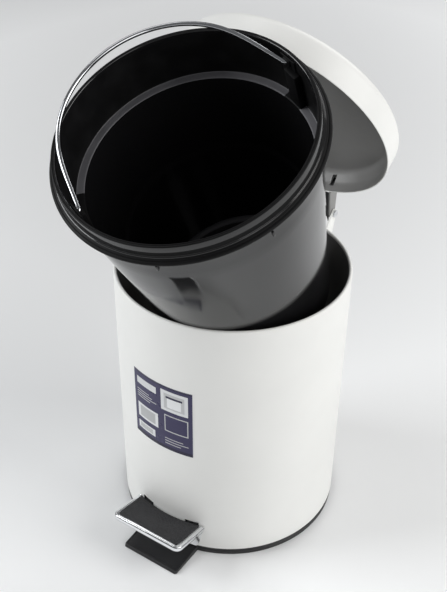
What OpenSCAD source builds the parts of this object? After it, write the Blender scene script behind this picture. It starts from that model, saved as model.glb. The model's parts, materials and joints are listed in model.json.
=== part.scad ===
// Round pedal bin of about seven litres.
// The lid leans open, the inner bucket is drawn half out and leans on
// the front rim, its bail is a little raised and the pedal is up.
// Millimetres. Z is up, the pedal points to -Y, the floor is Z = 0.

/* [Body] */
// Outside radius of the steel body
body_r = 112; // [95:1:135]
// Height of the rolled rim above the floor
body_h = 281; // [240:1:360]
// Thickness of the body sheet
shell_t = 1.0; // [0.6:0.1:1.4]
// Radius of the bead rolled inwards round the rim
bead_r = 1.75; // [1.2:0.05:2.2]
// Height of the base ring that shows under the body
ring_h = 8.2; // [6:0.2:14]
// How far the base ring stands in from the body
ring_inset = 0.5; // [0.2:0.1:2]

/* [Pedal] */
// Width of the pedal plate
pedal_w = 81; // [60:1:95]
// Reach of the pedal's front edge beyond the body
pedal_out = 38; // [28:1:50]
// Slope of the pedal when it is up, in degrees
pedal_slope = 12; // [8:0.5:15]
// Depth of the skirt round the pedal plate
pedal_skirt = 5.5; // [3:0.5:7]
// Thickness of the pressed pedal plate
plate_t = 1.2; // [0.8:0.1:2]
// Border of bright metal round the rubber pad
pad_border = 3.6; // [2:0.2:8]
// Rise of the rubber pad over the plate
pad_rise = 1.8; // [1:0.1:3]
// Distance of each lever arm from the middle
arm_x = 26.7; // [22:0.1:30]
// Width of a lever arm
arm_w = 10.5; // [8:0.5:12]
// Thickness of a lever arm
arm_t = 4; // [3:0.5:5]
// Distance of the lever's pivot in front of the middle
pivot_fwd = 16; // [5:1:30]
// Height of the lever's pivot
pivot_z = 16; // [14:0.5:22]
// Radius of the pivot pin
pivot_r = 2.5; // [2:0.1:3.5]

/* [Foot] */
// Width of the foot plate under the pedal
foot_w = 65; // [50:1:76]
// Reach of the foot plate beyond the body
foot_out = 32.5; // [22:0.5:50]
// Thickness of the foot plate
foot_t = 7; // [4:0.5:8]

/* [Lid] */
// Opening angle of the lid in degrees, as it leans
lid_open = 57.7; // [50:0.1:75]
// Height of the lid's skirt
lid_skirt = 20; // [18:0.5:28]
// Radius of the lid's shoulder
lid_shoulder = 10; // [6:0.5:14]
// Rise of the crowned top over the shoulder
lid_crown = 6; // [3:0.5:14]
// Thickness of the lid's outer sheet
lid_t = 0.8; // [0.6:0.1:1.2]
// Thickness of the lid's inner skin
liner_t = 1.0; // [0.8:0.1:1.6]
// Distance of the hinge pin behind the body
hinge_out = 26.2; // [24:0.2:34]
// Drop of the hinge pin below the body's rim
hinge_drop = 3.8; // [2:0.2:8]
// Half the width between the lid's two ears
ear_x = 30.4; // [26:0.2:34]
// Radius of the hinge pin
pin_r = 2.5; // [2:0.1:3]

/* [Bucket] */
// How far the bucket's flange stands in from the body's outside
flange_inset = 0.2; // [0.1:0.1:2]
// Drop of the flange's edge below the lip
flange_drop = 15.3; // [10:0.1:20]
// Depth of the bucket inside
bucket_depth = 233; // [180:1:280]
// Depth of the ledge below the lip
ledge_drop = 46.9; // [35:0.5:60]
// Width of the ledge
ledge_w = 6.7; // [4:0.1:9]
// How far the inside of the bucket's floor stands in from the body
floor_inset = 31; // [26:0.5:40]
// Thickness of the bucket's wall
wall_t = 1.6; // [1.2:0.1:2.2]
// Tilt of the bucket as it leans, in degrees
bucket_tilt = 27.5; // [26.5:0.1:28.5]
// Turn of the tilt away from the pedal, in degrees
bucket_turn = 4.3; // [3.3:0.1:5.3]

/* [Bail] */
// Radius of the bail wire
wire_r = 1.9; // [1.5:0.1:2.2]
// How far the bail's bow stands in from the body's outside
bow_inset = 14.3; // [13.5:0.1:20]
// Turn of the bail's pivots round the bucket, in degrees
bail_turn = 63; // [50:0.5:76]
// Lift of the bail above the rim, in degrees
bail_lift = 16.3; // [4:0.1:40]

/* [Hidden] */
$fn = 96;
e = 0.01;
rim_in = body_r - 2 * bead_r;
shell_in = body_r - shell_t;
shell_z0 = ring_h + 0.2;
bead_z = body_h - bead_r;
ring_r = body_r - ring_inset;
pan_t = 2.4;
pan_z = 1.6;
pan_in = shell_in - 0.25;
pan_up = 9;
// pedal lever
pedal_reach = body_r + pedal_out;
foot_reach = body_r + foot_out;
arm_dy = body_r - 5 - pivot_fwd;
arm_top = pivot_z + arm_dy * tan(pedal_slope) + arm_t / 2 / cos(pedal_slope);
slot_top = arm_top + 1.3;
slot_bot = ring_h + 3.6;
slot_w = arm_w + 4.3;
foot_depth = foot_reach - sqrt(pow(ring_r, 2) - pow(foot_w / 2, 2)) + 3;
plate_u1 = (pedal_reach - pivot_fwd) / cos(pedal_slope);
tongue_t = 3;
tongue_fall = 3;
tongue_w = 18;
rod_y = body_r - 5.5;
rod_r = 2;
foot_rad = 4;
boss_r = 5.6;
run = 0.08;
// push rod and bracket
hinge_y = body_r + hinge_out;
hinge_z = body_h - hinge_drop;
tail_len = 18;
tail_r = 3;
press = 12;
lift = 25.8;
cap_r = 4;
cap_y = hinge_y - 17;
cap_top = hinge_z + tail_len * sin(45) - tail_r - 0.28 - lift;
tongue_top = pivot_z - (rod_y + pivot_fwd) * tan(tongue_fall) + tongue_t / 2 / cos(tongue_fall);
foot_z = tongue_top + foot_rad / cos(tongue_fall) + 0.25;
jog_z1 = hinge_z - 61.7;
jog_z2 = jog_z1 + (cap_y - rod_y);
cheek_x = ear_x + 1.6;
cheek_t = 1.5;
web_y = body_r + 1;
web_t = 1.5;
brk_z0 = hinge_z - 73;
rivet_x = 19;
rivet_z1 = hinge_z - 62;
rivet_z2 = hinge_z - 16;
// lid, drawn closed with its rim plane at Z = 0, then placed
lid_r = body_r - 0.4;
rim_z = hinge_z + 6.2;
liner_r = lid_r - lid_t - 0.05;
bend_r = liner_r - 6.6;
bend_s = lid_skirt + 2;
sh_c = lid_r - lid_shoulder;
sh_a = 72;
cap_r0 = sh_c + lid_shoulder * cos(sh_a);
cap_s0 = lid_skirt + lid_shoulder * sin(sh_a);
slot_s0 = 6.5;
slot_s1 = 17.5;
lid_rivet_x = 20;
lid_rivet_s = 6.6;
// bucket, drawn upright with its lip at Z = 0
flange_r = body_r - flange_inset;
floor_r = body_r - floor_inset;
bow_r = body_r - bow_inset;
lip_r = flange_r - 6.7;
mouth_r = lip_r - 3.2;
up_r = mouth_r - 0.5;
low_r = up_r - ledge_w;
taper = (low_r - floor_r) / (bucket_depth - ledge_drop - 4.2);
ear_drop = 6.7;
ear_in = bow_r + wire_r + 0.6;
rib_in = low_r + 0.8;
rib_w = 15;
rib_turn = 4;
// the bucket leans with its wall on the front of the rim
b_axis = [sin(bucket_tilt) * sin(bucket_turn), -sin(bucket_tilt) * cos(bucket_turn), cos(bucket_tilt)];
b_side = [cos(bucket_turn), sin(bucket_turn), 0];
b_up = cross(b_axis, b_side);
lean_gap = 0.3;
lean_at = 20;
lean_psi = -76.55;
lean_s = 0.66 * bucket_depth;
lean_wall = floor_r + wall_t + (bucket_depth - 2.2 - lean_s) * taper;
lean_rad = lean_wall + (bead_r + lean_gap) / cos(atan(taper));
rim_pt = [(body_r - bead_r) * sin(lean_at), -(body_r - bead_r) * cos(lean_at), bead_z];
lean = rim_pt - lean_rad * (cos(lean_psi) * b_side + sin(lean_psi) * b_up) + lean_s * b_axis;

// ---- shared shapes ----

// distance from the middle plane to a circle of radius r at offset x
function chord(r, x) = sqrt(r * r - x * x);

module along_x(r, x0, x1) {
  translate([x0, 0, 0]) rotate([0, 90, 0]) cylinder(r = r, h = x1 - x0);
}

module along_y(r, y0, y1) {
  translate([0, y0, 0]) rotate([-90, 0, 0]) cylinder(r = r, h = y1 - y0);
}

// a window with round corners, cut along Y
module window(w, z0, z1, y0, y1, r) {
  translate([-w / 2 + r, y0, z0]) cube([w - 2 * r, y1 - y0, z1 - z0]);
  translate([-w / 2, y0, z0 + r]) cube([w, y1 - y0, z1 - z0 - 2 * r]);
  for (sx = [-1, 1]) for (z = [z0 + r, z1 - r])
    translate([sx * (w / 2 - r), 0, z]) along_y(r, y0, y1);
}

module at_hinge() {
  translate([0, hinge_y, hinge_z]) rotate([-lid_open, 0, 0])
    translate([0, -hinge_y, -hinge_z]) translate([0, 0, rim_z]) children();
}

module at_pivot() {
  translate([0, -pivot_fwd, pivot_z]) rotate([-pedal_slope, 0, 0]) children();
}

module at_bucket() {
  translate(lean) rotate([0, 0, bucket_turn])
    rotate([bucket_tilt, 0, 0]) children();
}

// ---- body ----

module body_shell() color([0.93, 0.93, 0.91]) difference() {
  union() {
    rotate_extrude() translate([shell_in, shell_z0]) square([shell_t, bead_z - shell_z0]);
    rotate_extrude() translate([body_r - bead_r, bead_z]) circle(r = bead_r, $fn = 48);
  }
  for (sx = [-1, 1]) translate([sx * arm_x, 0, 0])
    window(slot_w, slot_bot, slot_top, -body_r - 5, -body_r * 0.8, 1.5);
  window(8.4, jog_z1 - 1, jog_z2 + lift + 4, body_r * 0.9, body_r + 5, 3);
  for (sx = [-1, 1]) for (z = [rivet_z1, rivet_z2])
    translate([sx * rivet_x, 0, z]) along_y(1.65, body_r * 0.9, body_r + 5);
}

module base_pan() color([0.06, 0.06, 0.065]) difference() {
  union() {
    rotate_extrude() polygon([[0, pan_z], [ring_r - 4.2, pan_z], [ring_r - 3.8, 0],
      [ring_r - 0.5, 0], [ring_r, 0.5], [ring_r, ring_h * 0.52],
      [ring_r - 0.5, ring_h * 0.56], [ring_r - 0.5, ring_h], [pan_in, ring_h],
      [pan_in, ring_h + 0.2], [pan_in, ring_h + pan_up], [pan_in - 1.8, ring_h + pan_up],
      [pan_in - 1.8, pan_z + pan_t], [0, pan_z + pan_t]]);
    // ribs that stiffen the floor of the pan
    for (a = [45 : 90 : 315]) rotate([0, 0, a]) translate([50, -1, pan_z])
      cube([body_r - 54, 2, 6]);
    rotate_extrude() translate([66, pan_z]) square([2, pan_t + 2.5]);
  }
  for (sx = [-1, 1]) translate([sx * arm_x, 0, 0])
    window(slot_w + 1, pan_z + pan_t + 2, 60, -body_r - 5, -body_r * 0.6, 1.5);
  // clearance for the tongue of the lever
  translate([-tongue_w / 2 - 3, 30, pan_z + pan_t]) cube([tongue_w + 6, body_r - 34, 40]);
  translate([-14, body_r - 12, ring_h]) cube([28, 20, 20]);
  for (sx = [-1, 1]) for (y = [-1, 1])
    translate([sx * 45.5, -pivot_fwd + y * 7, 0]) cylinder(r = 1.4, h = 20);
  for (sx = [-1, 1]) translate([sx * 22, -body_r + 14, -1]) cylinder(r = 1.7, h = 20);
}

module foot_plate() color([0.05, 0.05, 0.055]) difference() {
  union() {
    hull() {
      translate([-foot_w / 2 + 3, -foot_reach, 0.6]) cube([foot_w - 6, foot_depth, 1]);
      translate([-foot_w / 2, -foot_reach + 2.5, 2.2]) cube([foot_w, foot_depth - 4, foot_t - 4]);
      translate([-foot_w / 2 + 3, -foot_reach + 4.5, foot_t - 1]) cube([foot_w - 6, foot_depth - 6, 1]);
    }
  }
  translate([0, 0, -1]) cylinder(r = ring_r + 0.05, h = 40);
}

module rubber_feet() color([0.09, 0.09, 0.09]) {
  for (a = [60 : 60 : 300]) rotate([0, 0, a - 90]) translate([body_r - 22, 0, 0])
    cylinder(r = 8, h = pan_z);
  for (sx = [-1, 1]) translate([sx * (foot_w / 2 - 12), -foot_reach + 12, 0])
    cylinder(r = 6, h = 0.6);
}

module pivot_bracket() color([0.62, 0.63, 0.65]) for (sx = [-1, 1]) scale([1, 1, 1])
  mirror([sx < 0 ? 1 : 0, 0, 0]) difference() {
    union() {
      translate([36, -pivot_fwd - 12, pan_z + pan_t]) cube([16, 24, 1.6]);
      translate([36, -pivot_fwd - 7, pan_z + pan_t]) cube([1.8, 14, pivot_z - pan_z - pan_t]);
      translate([0, -pivot_fwd, pivot_z]) along_x(7, 36, 37.8);
    }
    translate([0, -pivot_fwd, pivot_z]) along_x(pivot_r + 0.05, 30, 40);
    for (y = [-1, 1]) translate([45.5, -pivot_fwd + y * 7, 0]) cylinder(r = 1.7, h = 20);
  }

module bracket_screws() color([0.7, 0.7, 0.72]) for (sx = [-1, 1]) for (y = [-1, 1])
  translate([sx * 45.5, -pivot_fwd + y * 7, 0]) difference() {
    union() {
      translate([0, 0, pan_z + 0.2]) cylinder(r = 1.35, h = pan_t + 1.8);
      translate([0, 0, pan_z + pan_t + 1.6]) cylinder(r1 = 3, r2 = 2.4, h = 1.9);
    }
    for (a = [0, 90]) rotate([0, 0, a]) translate([-0.35, -1.6, pan_z + pan_t + 2.4])
      cube([0.7, 3.2, 2]);
  }

module pivot_pin() color([0.75, 0.76, 0.78]) translate([0, -pivot_fwd, pivot_z]) {
  along_x(pivot_r, -39.5, 39.5);
  along_x(pivot_r + 1.4, -40.7, -39);
  along_x(pivot_r + 1.4, 39, 40.7);
}

module rod_guides() color([0.1, 0.1, 0.11])
  for (z = [body_h * 0.2, body_h * 0.62]) intersection() {
    translate([0, 0, z]) difference() {
      union() {
        translate([-7, rod_y - 4.6, 0]) cube([14, 14, 9]);
        translate([-13, rod_y - 0.6, 0]) cube([26, 12, 9]);
      }
      translate([0, rod_y, -1]) cylinder(r = rod_r + 0.3, h = 20);
    }
    cylinder(r = shell_in, h = body_h);
  }

module cheek_side() {
  polygon([[body_r * 0.955, brk_z0], [body_r + 6, brk_z0], [body_r + 9, brk_z0 + 4],
    [hinge_y + 7.2, hinge_z - 3], [hinge_y + 5, hinge_z + 5.2], [hinge_y - 4, hinge_z + 6.2],
    [body_r + 3, hinge_z - 9], [body_r * 0.955, hinge_z - 9]]);
}

module hinge_bracket() color([0.93, 0.93, 0.91]) difference() {
  union() {
    for (sx = [-1, 1]) difference() {
      union() {
        translate([sx * (cheek_x + cheek_t / 2) - cheek_t / 2, 0, 0]) rotate([90, 0, 90])
          linear_extrude(height = cheek_t) cheek_side();
        translate([sx * (cheek_x + cheek_t / 2), hinge_y, hinge_z])
          along_x(7.6, -cheek_t / 2, cheek_t / 2);
      }
      translate([0, 0, brk_z0 - 5]) cylinder(r = body_r + 0.05, h = 200);
    }
    translate([-cheek_x - e, web_y, brk_z0])
      cube([2 * cheek_x + 2 * e, web_t, hinge_z - 9 - brk_z0]);
  }
  translate([0, hinge_y, hinge_z]) along_x(pin_r + 0.05, -60, 60);
  window(12, jog_z1 - 4, hinge_z + 20, web_y - 2, web_y + 5, 4);
  for (sx = [-1, 1]) for (z = [rivet_z1, rivet_z2])
    translate([sx * rivet_x, 0, z]) along_y(1.65, body_r * 0.9, body_r + 8);
}

module shell_rivets() color([0.8, 0.8, 0.8])
  for (sx = [-1, 1]) for (z = [rivet_z1, rivet_z2]) translate([sx * rivet_x, 0, z]) {
    along_y(1.6, chord(shell_in, rivet_x) - 1.2, web_y + web_t + 0.3);
    translate([0, web_y + web_t, 0]) rotate([-90, 0, 0]) cylinder(r1 = 3.4, r2 = 2.2, h = 1.3);
    along_y(2.6, chord(shell_in, rivet_x + 2.6) - 1.2, chord(shell_in, rivet_x + 2.6) - e);
  }

module hinge_pin() color([0.75, 0.76, 0.78]) translate([0, hinge_y, hinge_z]) {
  along_x(pin_r, -cheek_x - cheek_t - 1.2, cheek_x + cheek_t + 1.2);
  for (sx = [-1, 1]) translate([sx * (cheek_x + cheek_t + 1), 0, 0]) along_x(pin_r + 1.3, -0.8, 0.8);
}

module label() color([0.16, 0.19, 0.32]) rotate([0, 0, -90 - 20.4])
  rotate_extrude(angle = 35.9) translate([body_r + 0.03, body_h * 0.4585])
    square([0.2, body_h * 0.279]);

// ---- pedal ----

module pedal_lever() color([0.66, 0.67, 0.69]) {
  difference() {
    union() {
      at_pivot() for (sx = [-1, 1]) {
        translate([sx * arm_x - arm_w / 2, -plate_u1 + 6, -arm_t / 2])
          cube([arm_w, plate_u1 - 6, arm_t]);
        along_x(boss_r, sx * arm_x - arm_w / 2, sx * arm_x + arm_w / 2);
      }
      translate([0, -pivot_fwd, pivot_z]) rotate([-tongue_fall, 0, 0]) {
        for (sx = [-1, 1]) translate([sx * arm_x - arm_w / 2, 0, -tongue_t / 2])
          cube([arm_w, 58, tongue_t]);
        translate([-arm_x - arm_w / 2, 44, -tongue_t / 2])
          cube([2 * arm_x + arm_w, 14, tongue_t]);
        translate([-tongue_w / 2, 50, -tongue_t / 2])
          cube([tongue_w, rod_y + pivot_fwd - 50 + 2, tongue_t]);
        // upstanding edges that stiffen the tongue
        for (sx = [-1, 1]) translate([sx * (tongue_w / 2 - 0.8) - 0.8, 50, 0])
          cube([1.6, 48, 4.5]);
      }
    }
    translate([0, -pivot_fwd, pivot_z]) along_x(pivot_r + run, -60, 60);
  }
}

module plate_blank(inset, w0, w1, rear) {
  difference() {
    union() {
      translate([-pedal_w / 2 + inset, -plate_u1 + inset + 7, w0])
        cube([pedal_w - 2 * inset, 46, w1 - w0]);
      translate([-pedal_w / 2 + inset + 7, -plate_u1 + inset, w0])
        cube([pedal_w - 2 * inset - 14, 46, w1 - w0]);
      for (sx = [-1, 1])
        translate([sx * (pedal_w / 2 - inset - 7), -plate_u1 + inset + 7, w0])
          cylinder(r = 7, h = w1 - w0);
    }
    rotate([pedal_slope, 0, 0]) translate([0, pivot_fwd, -60])
      cylinder(r = body_r + rear, h = 120);
  }
}

module pedal_plate() color([0.82, 0.83, 0.85]) at_pivot() {
  difference() {
    plate_blank(0, arm_t / 2 - pedal_skirt, arm_t / 2 + plate_t, 1.6);
    plate_blank(plate_t, -20, arm_t / 2, 1.6 + plate_t);
    // the arms come in through the rear of the skirt
    for (sx = [-1, 1]) translate([sx * arm_x - arm_w / 2 - 0.2, -plate_u1 + 8, -8])
      cube([arm_w + 0.4, 60, 8 + arm_t / 2]);
  }
}

module pedal_pad() color([0.07, 0.07, 0.07]) at_pivot() {
  difference() {
    plate_blank(pad_border, arm_t / 2 + plate_t, arm_t / 2 + plate_t + pad_rise, 1.6 + 2.2);
    // fine treads across the pad
    for (k = [0 : 1 : 9]) translate([-pedal_w, -plate_u1 + 7 + k * 3.2, arm_t / 2 + plate_t + pad_rise - 0.5])
      cube([2 * pedal_w, 1.1, 2]);
  }
}

// ---- push rod ----

module push_rod() color([0.72, 0.73, 0.75]) {
  translate([0, rod_y, foot_z]) cylinder(r = rod_r, h = jog_z1 - foot_z);
  translate([0, rod_y, jog_z1]) sphere(r = rod_r);
  translate([0, rod_y, jog_z1]) rotate([-45, 0, 0])
    cylinder(r = rod_r, h = (cap_y - rod_y) * sqrt(2));
  translate([0, cap_y, jog_z2]) sphere(r = rod_r);
  translate([0, cap_y, jog_z2]) cylinder(r = rod_r, h = cap_top - 3 - jog_z2);
}

module rod_cap() color([0.1, 0.1, 0.11]) translate([0, cap_y, 0]) difference() {
  union() {
    translate([0, 0, cap_top - 11]) cylinder(r = cap_r - 0.6, h = 9.6);
    translate([0, 0, cap_top - 2]) cylinder(r = cap_r, h = 2);
  }
  translate([0, 0, cap_top - 12]) cylinder(r = rod_r, h = 9);
}

module rod_foot() color([0.1, 0.1, 0.11]) translate([0, rod_y, 0]) difference() {
  union() {
    translate([0, 0, foot_z]) along_x(foot_rad, -5, 5);
    translate([0, 0, foot_z]) cylinder(r = 3.6, h = 11);
  }
  translate([0, 0, foot_z]) cylinder(r = rod_r, h = 20);
}

// ---- lid ----

function cap_pts(r0, s0, rise, k) = [for (i = [0 : k])
  let(r = r0 * (1 - i / k)) [r, s0 + rise * (1 - pow(r / r0, 2))]];

function shoulder(c, s, r, k) = [for (i = [0 : k])
  [c + r * cos(sh_a * i / k), s + r * sin(sh_a * i / k)]];

function rev(v) = [for (i = [len(v) - 1 : -1 : 0]) v[i]];

module ear_slots() {
  for (sx = [-1, 1]) translate([sx * ear_x, 0, 0])
    window(3.6, slot_s0, slot_s1, body_r * 0.8, body_r + 5, 1.2);
  for (sx = [-1, 1]) translate([sx * lid_rivet_x, 0, lid_rivet_s]) along_y(1.65, body_r * 0.8, body_r + 5);
}

module lid_shell() color([0.93, 0.93, 0.91]) at_hinge() difference() {
  rotate_extrude() polygon(concat([[lid_r - lid_t, 0], [lid_r - 0.25, 0], [lid_r, 0.4]],
    shoulder(sh_c, lid_skirt, lid_shoulder, 12),
    cap_pts(cap_r0, cap_s0, lid_crown, 14),
    rev(cap_pts(cap_r0 - 0.2, cap_s0 - lid_t, lid_crown, 14)),
    rev(shoulder(sh_c, lid_skirt, lid_shoulder - lid_t, 12))));
  ear_slots();
}

module lid_liner() color([0.42, 0.42, 0.42]) at_hinge() difference() {
  rotate_extrude() polygon(concat([[liner_r - liner_t, 0.5], [liner_r, 0.5],
    [liner_r, lid_skirt * 0.5], [bend_r + liner_t + 0.6, bend_s - 0.8],
    [bend_r + liner_t * 0.6, bend_s + liner_t * 0.8]],
    cap_pts(bend_r - 0.4, bend_s + liner_t, 5, 12),
    rev(cap_pts(bend_r - 0.8, bend_s, 5, 12)),
    [[bend_r, bend_s - 0.9], [liner_r - liner_t, lid_skirt * 0.5 - 0.2]]));
  ear_slots();
}

module ear_side() {
  polygon([[lid_r - 14, slot_s0 + 0.8], [lid_r + 3, slot_s0 + 0.8],
    [hinge_y - 6, hinge_z - rim_z - 2.2], [hinge_y + 2, hinge_z - rim_z - 5.5],
    [hinge_y + 6, hinge_z - rim_z + 2], [hinge_y - 2, hinge_z - rim_z + 9.5],
    [lid_r + 3.5, slot_s1 + 1.2], [lid_r + 1, slot_s1 - 0.8], [lid_r - 14, slot_s1 - 0.8]]);
}

module lid_arm() color([0.45, 0.45, 0.45]) at_hinge() difference() {
  union() {
    for (sx = [-1, 1]) {
      difference() {
        translate([sx * ear_x - 0.8, 0, 0]) rotate([90, 0, 90])
          linear_extrude(height = 1.6) ear_side();
        translate([0, 0, -20]) cylinder(r = liner_r - liner_t - 2.2, h = 60);
      }
      translate([sx * ear_x, hinge_y, hinge_z - rim_z]) along_x(6.2, -0.8, 0.8);
    }
    intersection() {
      difference() {
        cylinder(r = lid_r + 1.6, h = 18.5);
        translate([0, 0, -1]) cylinder(r = lid_r + 0.02, h = 30);
      }
      translate([-ear_x - 0.8, 80, 3.5]) cube([2 * ear_x + 1.6, 60, 14.5]);
    }
  }
  translate([0, hinge_y, hinge_z - rim_z]) along_x(pin_r + run, -60, 60);
  for (sx = [-1, 1]) translate([sx * lid_rivet_x, 0, lid_rivet_s]) along_y(1.65, 80, body_r * 2);
}

// side view of the tail that the push rod lifts
module tail_side() {
  translate([hinge_y, hinge_z - rim_z]) rotate(45) translate([-tail_len, -2.2])
    square([tail_len, 4.4]);
}

// side view of the strap that joins the barrel to the lid's arm
module strap_side() {
  polygon([[hinge_y - 4, hinge_z - rim_z - 0.5], [lid_r - 3, 6.5], [lid_r - 3, 16.5],
    [lid_r + 3.4, 16.5], [lid_r + 3.8, 9], [hinge_y + 0.5, hinge_z - rim_z + 4.6]]);
}

module lid_lever() color([0.05, 0.05, 0.055]) at_hinge() difference() {
  union() {
    translate([0, hinge_y, hinge_z - rim_z]) along_x(5.2, -ear_x + 1.2, ear_x - 1.2);
    translate([-5, 0, 0]) rotate([90, 0, 90]) linear_extrude(height = 10) tail_side();
    translate([0, hinge_y - tail_len * cos(45), hinge_z - rim_z - tail_len * sin(45)])
      along_x(tail_r, -5, 5);
    difference() {
      translate([-13, 0, 0]) rotate([90, 0, 90]) linear_extrude(height = 26) strap_side();
      translate([0, 0, -20]) cylinder(r = lid_r + 1.65, h = 60);
    }
  }
  translate([0, hinge_y, hinge_z - rim_z]) along_x(pin_r + run, -60, 60);
}

module lid_rivets() color([0.6, 0.6, 0.6]) at_hinge() for (sx = [-1, 1])
  translate([sx * lid_rivet_x, 0, lid_rivet_s]) {
    along_y(1.6, chord(liner_r - liner_t, lid_rivet_x) - 1.2, chord(lid_r, lid_rivet_x) + 2.6);
    translate([0, chord(lid_r + 1.6, lid_rivet_x - 3.3) + 0.02, 0]) rotate([-90, 0, 0])
      cylinder(r1 = 3.2, r2 = 2.2, h = 1.2);
    translate([0, chord(liner_r - liner_t, lid_rivet_x + 2.6) - 1, 0]) rotate([-90, 0, 0])
      cylinder(r = 2.6, h = 0.98);
  }

// ---- bucket ----

module bucket() color([0.05, 0.05, 0.055]) at_bucket() {
  difference() {
    union() {
      rotate_extrude() polygon([[0, -bucket_depth - 2], [floor_r - 3, -bucket_depth - 2],
        [floor_r + wall_t, -bucket_depth + 2.2],
        [low_r + wall_t, -ledge_drop - 2.6], [up_r + wall_t, -ledge_drop - 1.4],
        [mouth_r + wall_t, -flange_drop + 3.5], [flange_r - 4.6, -flange_drop + 3],
        [flange_r - 1.9, -flange_drop], [flange_r, -flange_drop],
        [flange_r, -flange_drop + 1.6], [lip_r + 1.6, -10.8], [lip_r + 1.3, -10],
        [lip_r + 0.2, -1.1], [lip_r - 0.7, -0.2], [lip_r - 1.6, 0],
        [lip_r - 2.6, -0.2], [mouth_r, -1.2], [up_r, -ledge_drop], [low_r, -ledge_drop],
        [floor_r, -bucket_depth + 3], [floor_r - 2.5, -bucket_depth], [0, -bucket_depth]]);
      // ears for the bail, down to the ledge
      intersection() {
        rotate([0, 0, bail_turn]) for (sx = [-1, 1]) mirror([sx < 0 ? 1 : 0, 0, 0])
          translate([ear_in, -9, -ledge_drop - 1]) cube([20, 18, ledge_drop - 1.5]);
        translate([0, 0, -100]) cylinder(r = mouth_r + 0.8, h = 100);
      }
      // ribs beside the ears, down to the ledge
      intersection() {
        for (k = [0, 180]) rotate([0, 0, bail_turn - rib_turn + k])
          translate([rib_in, -rib_w / 2, -ledge_drop - 1]) cube([20, rib_w, ledge_drop - 12]);
        translate([0, 0, -100]) cylinder(r = mouth_r + 0.6, h = 100);
      }
    }
    rotate([0, 0, bail_turn]) translate([0, 0, -ear_drop])
      along_x(wire_r + 0.15, -flange_r + 2, flange_r - 2);
  }
}

module bail() color([0.85, 0.86, 0.88]) at_bucket() rotate([0, 0, bail_turn])
  translate([0, 0, -ear_drop]) rotate([bail_lift, 0, 0]) {
    rotate_extrude(angle = 180) translate([bow_r, 0]) circle(r = wire_r, $fn = 48);
    for (sx = [-1, 1]) {
      translate([sx * bow_r, 0, 0]) sphere(r = wire_r + 0.2, $fn = 48);
      translate([sx * (bow_r + 2), 0, 0]) along_x(wire_r, -2, 2);
    }
  }

body_shell();
base_pan();
foot_plate();
rubber_feet();
pivot_bracket();
bracket_screws();
pivot_pin();
rod_guides();
hinge_bracket();
shell_rivets();
hinge_pin();
label();
pedal_lever();
pedal_plate();
pedal_pad();
push_rod();
rod_cap();
rod_foot();
lid_shell();
lid_liner();
lid_arm();
lid_lever();
lid_rivets();
bucket();
bail();
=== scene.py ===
"""Pedal bin: the finished pieces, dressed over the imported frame.

Every piece is modelled in millimetres and carried to its place in metres,
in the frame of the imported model, and rides on one of its bodies.
"""
import json
import math
import bmesh
import bpy
from bpy.props import FloatProperty, FloatVectorProperty, PointerProperty
from bpy.types import Operator, Panel, PropertyGroup
from mathutils import Matrix, Vector


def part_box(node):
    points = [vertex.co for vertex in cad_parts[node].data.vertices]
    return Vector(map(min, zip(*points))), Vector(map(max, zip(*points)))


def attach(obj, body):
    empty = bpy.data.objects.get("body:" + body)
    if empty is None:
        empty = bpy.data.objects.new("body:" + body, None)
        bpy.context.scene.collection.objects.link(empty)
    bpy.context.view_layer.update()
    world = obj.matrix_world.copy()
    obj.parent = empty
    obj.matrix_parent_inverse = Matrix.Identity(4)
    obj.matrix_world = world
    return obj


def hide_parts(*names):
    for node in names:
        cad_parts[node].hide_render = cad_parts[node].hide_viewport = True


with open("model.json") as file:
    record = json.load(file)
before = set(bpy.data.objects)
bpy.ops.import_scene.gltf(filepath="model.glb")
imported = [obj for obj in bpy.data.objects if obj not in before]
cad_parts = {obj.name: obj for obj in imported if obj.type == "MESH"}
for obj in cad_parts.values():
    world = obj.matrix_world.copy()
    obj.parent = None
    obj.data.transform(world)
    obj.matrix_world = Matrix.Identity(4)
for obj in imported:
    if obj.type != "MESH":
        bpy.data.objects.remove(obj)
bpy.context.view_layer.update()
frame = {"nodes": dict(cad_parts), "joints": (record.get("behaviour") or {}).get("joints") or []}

bl_info = {
    "name": "Pedal bin",
    "version": (1, 0, 0),
    "blender": (4, 5, 0),
    "location": "View3D > Sidebar > Pedal bin",
    "description": "Builds the pieces and finishes of a round pedal bin",
    "category": "Object",
}

MM = Matrix.Scale(0.001, 4)
TAU = 2 * math.pi
STEPS = 144         # facets of a full turn


# ---- places, from the joints of the frame ----

def joint(name):
    """The joint of that name in the frame."""
    return next(j for j in frame["joints"] if j["name"] == name)


def turn(angle, axis):
    """A turn by degrees round an axis."""
    return Matrix.Rotation(math.radians(angle), 4, axis)


PIVOT = Vector(joint("pedal_press")["pos_m"]) * 1000
HINGE = Vector(joint("lid_hinge")["pos_m"]) * 1000
EAR = Vector(joint("bail_swing")["pos_m"]) * 1000
BUCKET_AXIS = Vector(joint("bucket_lift")["axis"]).normalized()
BUCKET_TILT = math.degrees(math.acos(BUCKET_AXIS.z))
BUCKET_TURN = math.degrees(math.atan2(BUCKET_AXIS.x, -BUCKET_AXIS.y))
PEDAL_SLOPE = 12    # degrees, the pedal's plate over level
LID_OPEN = 57.7     # degrees, the lid from shut to where it leans
RIM_RISE = 6.2      # millimetres, from the hinge up to the shut lid's edge
EAR_DROP = 6.7      # millimetres, from the bucket's lip down to the bail's ends
BAIL_TURN = 63      # degrees, where the ears stand round the bucket
BAIL_LIFT = 16.3    # degrees, the raised bail over the lip

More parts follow.
